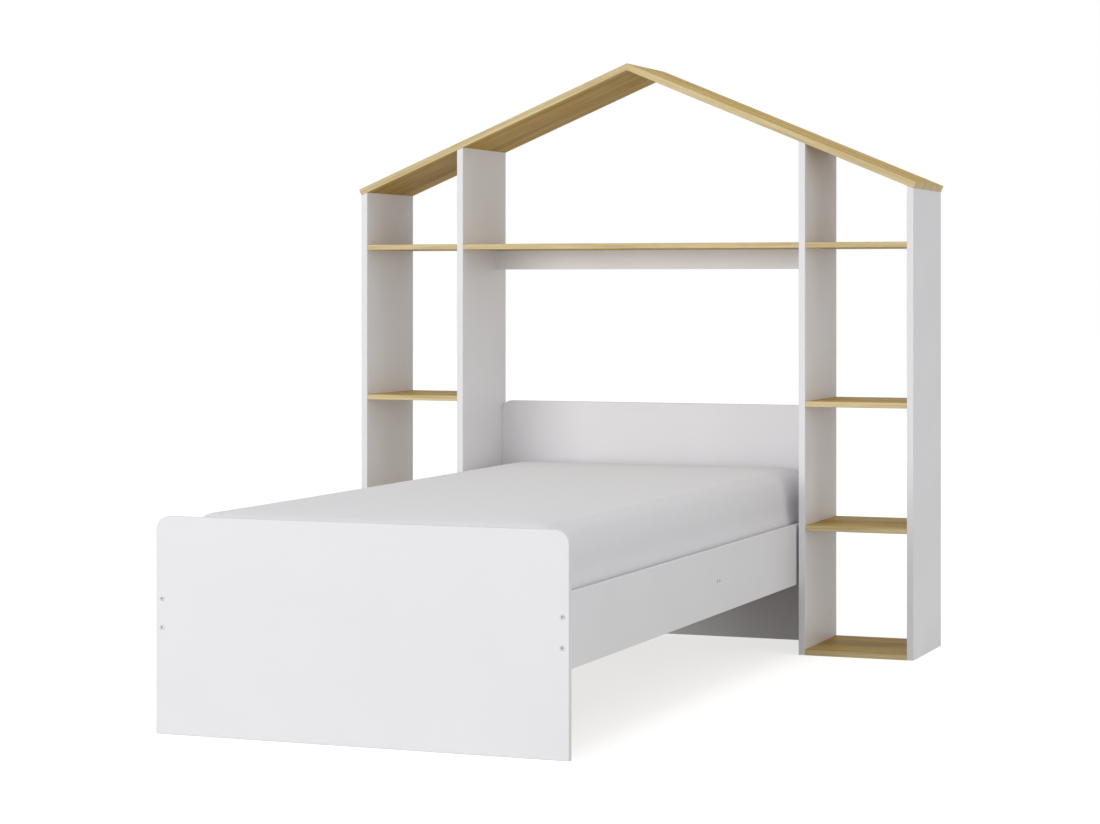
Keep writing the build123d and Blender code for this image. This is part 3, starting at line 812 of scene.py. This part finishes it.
def build_dowels():
    """Beech dowels across the joints of the shelf unit, the ridge and the bed."""
    shelf = []
    for level in LEVELS:
        for side, sign in SIDES:
            low, high = corners(f"shelf_{level}_{side}")
            for x, into in ((low[0], -X), (high[0], X)):
                shelf.append((np.array((x, low[1] + SETBACK, (low[2] + high[2]) / 2)), into))
    low, high = corners("stretcher")
    y = (low[1] + high[1]) / 2
    for side, sign in SIDES:
        shelf.append((np.array((sign * high[0], y, low[2] + 0.75 * (high[2] - low[2]))), sign * X))
        shelf.append((np.array((sign * high[0] / 2, y, high[2])), Z))
        for kind in ("outer", "inner"):
            low_u, high_u = corners(f"upright_{kind}_{side}")
            x = (low_u[0] + high_u[0]) / 2
            shelf.append((np.array((x, low_u[1] + SETBACK, roof_under(x))), Z))
    bed = []
    for side, sign in SIDES:
        low, high = corners(f"side_rail_{side}")
        for y, into in ((low[1], -Y), (high[1], Y)):
            bed.append((np.array(((low[0] + high[0]) / 2, y, (low[2] + high[2]) / 2)), into))
    for name, points, replaced in (("shelf", shelf, "shelf_dowels"), ("bed", bed, "bed_dowels")):
        places = [(point - into * DOWEL_HELD, into, Y if into[1] == 0 else Z) for point, into in points]
        shape = dowel_shape(4, DOWEL_L / MM)
        piece = repeated(f"fluted_dowels_{name}", *shape, places, BEECH, "beech")
        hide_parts(replaced)
    low, high = corners("roof_panel_right")
    height = roof_under(0) + ROOF_T / cos(ROOF_PITCH) / 2
    rows = (low[1] + SETBACK, (low[1] + high[1]) / 2, high[1] - SETBACK)
    places = [(np.array((-12 * MM, y, height)), X, Y) for y in rows]
    piece = repeated("fluted_dowels_ridge", *dowel_shape(3, 24), places, BEECH, "beech")
    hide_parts("ridge_dowels")


def wood_screw(length):
    """A countersunk wood screw in millimetres, its head up, with a cross drive and a tapering point."""
    angle = cross_angles(*SCREW_DRIVE)
    top = PROUD / MM
    point = circles(angle, (0.3, -length), (1, 2 - length))
    screw = thread(angle, 2 - length, -length * 0.3, 1.35, 2, 1.8, 5)
    head = circles(
        angle, (1.4, -length * 0.3 + 0.4), (1.7, -3.4), (2, -2.5), (3.9, -0.25), (4.1, top - 0.1), (4, top),
        (3, top + 0.02),
    )
    drive = recess(cross(angle, *SCREW_DRIVE), (1.05, top), (1, top - 0.15), (0.75, -1.5), (0.3, -1.7))
    return turned(angle, point, screw, head, drive)


def build_screws():
    """The ledgers' screws, and the pairs that hold the tie batten through the rails."""
    ledger, batten = [], []
    tie = np.mean(corners("tie_batten"), axis=0)[1]
    for side, sign in SIDES:
        low, high = corners(f"ledger_{side}")
        inner = low[0] if sign > 0 else high[0]
        for i in range(LEDGER_SCREWS):
            y = (i - (LEDGER_SCREWS - 1) / 2) * (high[1] - low[1]) / LEDGER_SCREWS
            ledger.append((np.array((inner, y, (low[2] + high[2]) / 2)), -sign * X, Z))
        low, high = corners(f"side_rail_{side}")
        outer = high[0] if sign > 0 else low[0]
        for y in (tie - BATTEN_SCREW_PITCH / 2, tie + BATTEN_SCREW_PITCH / 2):
            batten.append((np.array((outer, y, (low[2] + high[2]) / 2)), sign * X, Z))
    piece = repeated("ledger_wood_screws", *wood_screw(30), ledger, STEEL, "zinc_steel")
    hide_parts("ledger_screws")
    piece = repeated("batten_wood_screws", *wood_screw(50), batten, STEEL, "zinc_steel")
    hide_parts("tie_batten_screws")


def build_rail_bolts():
    """Flat-headed bolts with a hexagon socket, and the slotted barrel nuts that they run into."""
    bolts, nuts = [], []
    for side, sign in SIDES:
        low, high = corners(f"side_rail_{side}")
        x, z = (low[0] + high[0]) / 2, (low[2] + high[2]) / 2
        inner = low[0] if sign > 0 else high[0]
        ends = ((corners("footboard")[0][1], low[1], Y), (corners("headboard")[1][1], high[1], -Y))
        for outside, joint, into in ends:
            for height in (z - BOLT_PITCH / 2, z + BOLT_PITCH / 2):
                bolts.append((np.array((x, outside, height)), -into, Z))
                nuts.append((np.array((inner, joint + into[1] * NUT_REACH, height)), -sign * X, Z))
    angle = even_angles(36)
    shank = circles(angle, (2.2, -58), (2.6, -57.4))
    screw = thread(angle, -57, -20, 2.5, 3, 1.0, 4)
    head = circles(
        angle, (2.8, -19.5), (3, -4), (3.1, -3.5), (5.9, -0.45), (6.1, -0.05), (6, 0.2), (5.6, 0.32),
        (4, 0.38),
    )
    socket = recess(hexagon(angle, 2.3), (1.12, 0.38), (1, 0.2), (0.96, -2), (0.3, -2.3))
    bolt = turned(angle, shank, screw, head, socket)
    piece = repeated("rail_bolt_screws", *bolt, bolts, STEEL, "zinc_steel")
    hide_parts("rail_bolts")
    angle = cross_angles(*NUT_SLOT)
    top = PROUD / MM
    barrel = circles(angle, (4.3, -13), (5, -12.5), (5, -0.6), (5.05, top - 0.1), (4.8, top), (4.2, top))
    outline = np.maximum(bar(angle, *NUT_SLOT), NUT_SLOT[1] * MM)
    groove = recess(outline, (1, top), (1, top - 0.8), (0.9, -1.2), (0.4, -1.2))
    piece = repeated("barrel_nuts", *turned(angle, barrel, groove), nuts, STEEL, "zinc_steel")
    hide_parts("rail_cross_nuts")


def build_tapes():
    """Woven tapes under the slats, sagging a little between them, with a staple at each slat.

    The tape's middle line hangs below its slats by the sag times a raised cosine of the place between
    two slats, and its section is a flat oval.
    """
    material = woven_tape()
    turn = even_angles(12)
    places = []
    for side in ("left", "right"):
        low, high = corners(f"slat_ribbon_{side}")
        y = np.linspace(low[1], high[1], 8 * (2 * SLATS_EACH_WAY) + 1)
        free = np.clip((1 - np.cos(2 * pi * y / SLAT_PITCH)) / 2 * 1.6 - 0.6, 0, 1)
        drop = (low[2] + high[2]) / 2 - TAPE_SAG * free
        half_w, half_t = (high[0] - low[0]) / 2, (high[2] - low[2]) / 2
        squared = np.sign(np.cos(turn)) * np.abs(np.cos(turn)) ** 0.4
        x = (low[0] + high[0]) / 2 - half_w * squared
        z = half_t * np.sign(np.sin(turn)) * np.abs(np.sin(turn)) ** 0.6
        rings = np.stack(np.broadcast_arrays(x[None, :], y[:, None], drop[:, None] + z[None, :]), axis=-1)
        piece = add_object(f"slat_tape_{side}", with_poles(rings), closed_skin(len(y), len(turn)), material,
                           "slat_tape", "frame")
        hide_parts(f"slat_ribbon_{side}")
        rows = [i * SLAT_PITCH for i in range(-SLATS_EACH_WAY, SLATS_EACH_WAY + 1) if i]
        places += [(np.array(((low[0] + high[0]) / 2, row, low[2])), Z, X) for row in rows]
    repeated("tape_staples", *staple_shape(), places, STEEL, "zinc_steel")


def staple_shape():
    """A staple of round wire, its crown level under the tape and its two legs up into the slat.

    The wire's middle line is an arch: straight legs and a crown, with a small quarter circle at each bend.
    """
    wire, half, leg, bend = 0.45 * MM, 5 * MM, 7 * MM, 0.8 * MM
    turn = np.linspace(0, pi / 2, 4)
    right_x = np.concatenate([[half], half - bend + bend * np.cos(turn)])
    right_z = np.concatenate([[leg], -wire + bend - bend * np.sin(turn)])
    x = np.concatenate([right_x, -right_x[::-1]])
    z = np.concatenate([right_z, right_z[::-1]])
    path = np.stack([x, 0 * x, z], axis=-1)
    way = np.gradient(path, axis=0)
    way /= np.linalg.norm(way, axis=1)[:, None]
    outward = np.cross(Y, way)
    around = even_angles(6)[None, :, None]
    rings = path[:, None] + wire * (np.cos(around) * outward[:, None] + np.sin(around) * Y)
    return with_poles(rings), closed_skin(len(path), 6)


build_cams()
build_dowels()
build_screws()
build_rail_bolts()
build_tapes()


# Mattress

MATTRESS_R = 75 * MM
SHOULDER_RUN = 44 * MM
SHOULDER_DROP = 95 * MM
HEM_R = 24 * MM
WALL_BOW = 10 * MM  # the side bulges this far towards the rail
CROWN = 8 * MM
CROWN_R = 17 * MM  # smallest rounding of the outlines that shape the crown
SPINE = 8 * MM  # half width of the smallest outlines, which the poles close above and below
MATTRESS_COLUMNS = 256
SWELL_ROOM = 4 * MM  # the form starts this much smaller, because it swells
SWELL_MOST = 5 * MM
SWELL_FRAMES = 20
PRESSURE = 4.0
VOXEL = 15 * MM


def mattress_profile():
    """Inset and height up the mattress's side, from the middle of its underside to the middle of its top.

    The hem is a quarter circle, the wall bows out a little, the shoulder is a quarter ellipse, and the
    crown is a parabola that rises to the middle.
    """
    low, high = corners("mattress")
    half = (high[0] - low[0]) / 2
    shoulder = high[2] - CROWN
    turn = np.linspace(0, pi / 2, 9)
    under = np.linspace(half - SPINE, HEM_R, 24)[:-1]
    hem = np.stack([HEM_R * (1 - np.sin(turn)), low[2] + HEM_R * (1 - np.cos(turn))])
    rise = np.linspace(low[2] + HEM_R, shoulder - SHOULDER_DROP, 8)[1:-1]
    wall = np.stack([-WALL_BOW * np.sin(pi * (rise - rise[0]) / (rise[-1] - rise[0])), rise])
    turn = np.linspace(0, pi / 2, 18)
    bend = np.stack([SHOULDER_RUN * (1 - np.cos(turn)), shoulder - SHOULDER_DROP * (1 - np.sin(turn))])
    share = np.linspace(0, 1, 24)[1:]
    run = half - SPINE - SHOULDER_RUN
    over = np.stack([SHOULDER_RUN + share * run, shoulder + CROWN * (1 - (1 - share) ** 2)])
    flat = np.stack([under, np.full(len(under), low[2])])
    return np.concatenate([flat, hem, wall, bend, over], axis=1)


def rounded_outline(half_w, half_l, radius, columns):
    """A rectangle with rounded corners, as points evenly spread by their share of each side and corner.

    Every column keeps its place on a side or in a corner as the rectangle shrinks, so the rings of a
    skin line up.
    """
    turn = np.linspace(0, pi / 2, columns // 8, endpoint=False)
    share = np.linspace(0, 1, columns // 8, endpoint=False)[:, None]
    middles = np.stack([half_w - radius, half_l - radius], axis=-1)[:, None]
    radius = radius[:, None, None]
    points = []
    for quarter in range(4):
        here, following = middles * QUARTERS[quarter], middles * QUARTERS[(quarter + 1) % 4]
        angle = turn + quarter * pi / 2
        points.append(here + radius * np.stack([np.cos(angle), np.sin(angle)], axis=-1))
        end = (quarter + 1) * pi / 2
        edge = radius * (cos(end), sin(end))
        points.append((here + edge) * (1 - share) + (following + edge) * share)
    return np.concatenate(points, axis=1)


def mattress_form():
    """The mattress as a stack of rounded outlines, one for each point of its profile."""
    low, high = corners("mattress")
    inset, height = mattress_profile()
    inset = inset + SWELL_ROOM
    half_w = (high[0] - low[0]) / 2 - inset
    half_l = (high[1] - low[1]) / 2 - inset
    radius = np.minimum(np.maximum(MATTRESS_R - inset, CROWN_R), half_w * 0.98)
    outline = rounded_outline(half_w, half_l, radius, MATTRESS_COLUMNS)
    level = np.broadcast_to(height[:, None, None], outline.shape[:2] + (1,))
    rings = np.concatenate([outline, level], axis=-1)
    return with_poles(rings), closed_skin(*outline.shape[:2])


def points_of(mesh):
    """A mesh's vertices as an array."""
    found = np.empty(len(mesh.vertices) * 3)
    mesh.vertices.foreach_get("co", found)
    return found.reshape(-1, 3)


def finished_mesh(piece):
    """The piece's mesh with its modifiers worked in."""
    return bpy.data.meshes.new_from_object(piece.evaluated_get(bpy.context.evaluated_depsgraph_get()))


def swell(piece, low):
    """Lets the cover swell under pressure like filled cloth, then settles it on what carries it.

    No point moves further than the cap, and none goes below the slats.
    """
    remesh = piece.modifiers.new("even mesh", "REMESH")
    remesh.mode = "VOXEL"
    remesh.voxel_size = VOXEL
    piece.data = finished_mesh(piece)
    piece.modifiers.clear()
    before = points_of(piece.data)
    cloth = piece.modifiers.new("swelling", "CLOTH")
    cloth.settings.use_pressure = True
    cloth.settings.uniform_pressure_force = PRESSURE
    cloth.settings.effector_weights.gravity = 0
    cloth.point_cache.frame_start = 1
    cloth.point_cache.frame_end = SWELL_FRAMES
    for step in range(1, SWELL_FRAMES + 1):
        bpy.context.scene.frame_set(step)
    move = points_of(finished_mesh(piece)) - before
    reach = np.linalg.norm(move, axis=1)[:, None]
    move *= np.minimum(1, SWELL_MOST / np.maximum(reach, 1e-9))
    piece.modifiers.clear()
    bpy.context.scene.frame_set(1)
    settled = before + move
    settled[:, 2] = np.maximum(settled[:, 2], low)
    piece.data.vertices.foreach_set("co", settled.ravel())
    piece.data.polygons.foreach_set("use_smooth", [True] * len(piece.data.polygons))
    piece.data.update()
    finer = piece.modifiers.new("finer", "SUBSURF")
    finer.levels = finer.render_levels = 1


def build_mattress():
    """The loose mattress in its knitted cover."""
    piece = add_object("mattress_pad", *mattress_form(), mattress_cloth(), "mattress_cover", None)
    swell(piece, corners("mattress")[0][2])
    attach(piece, "mattress")
    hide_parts("mattress")


build_mattress()
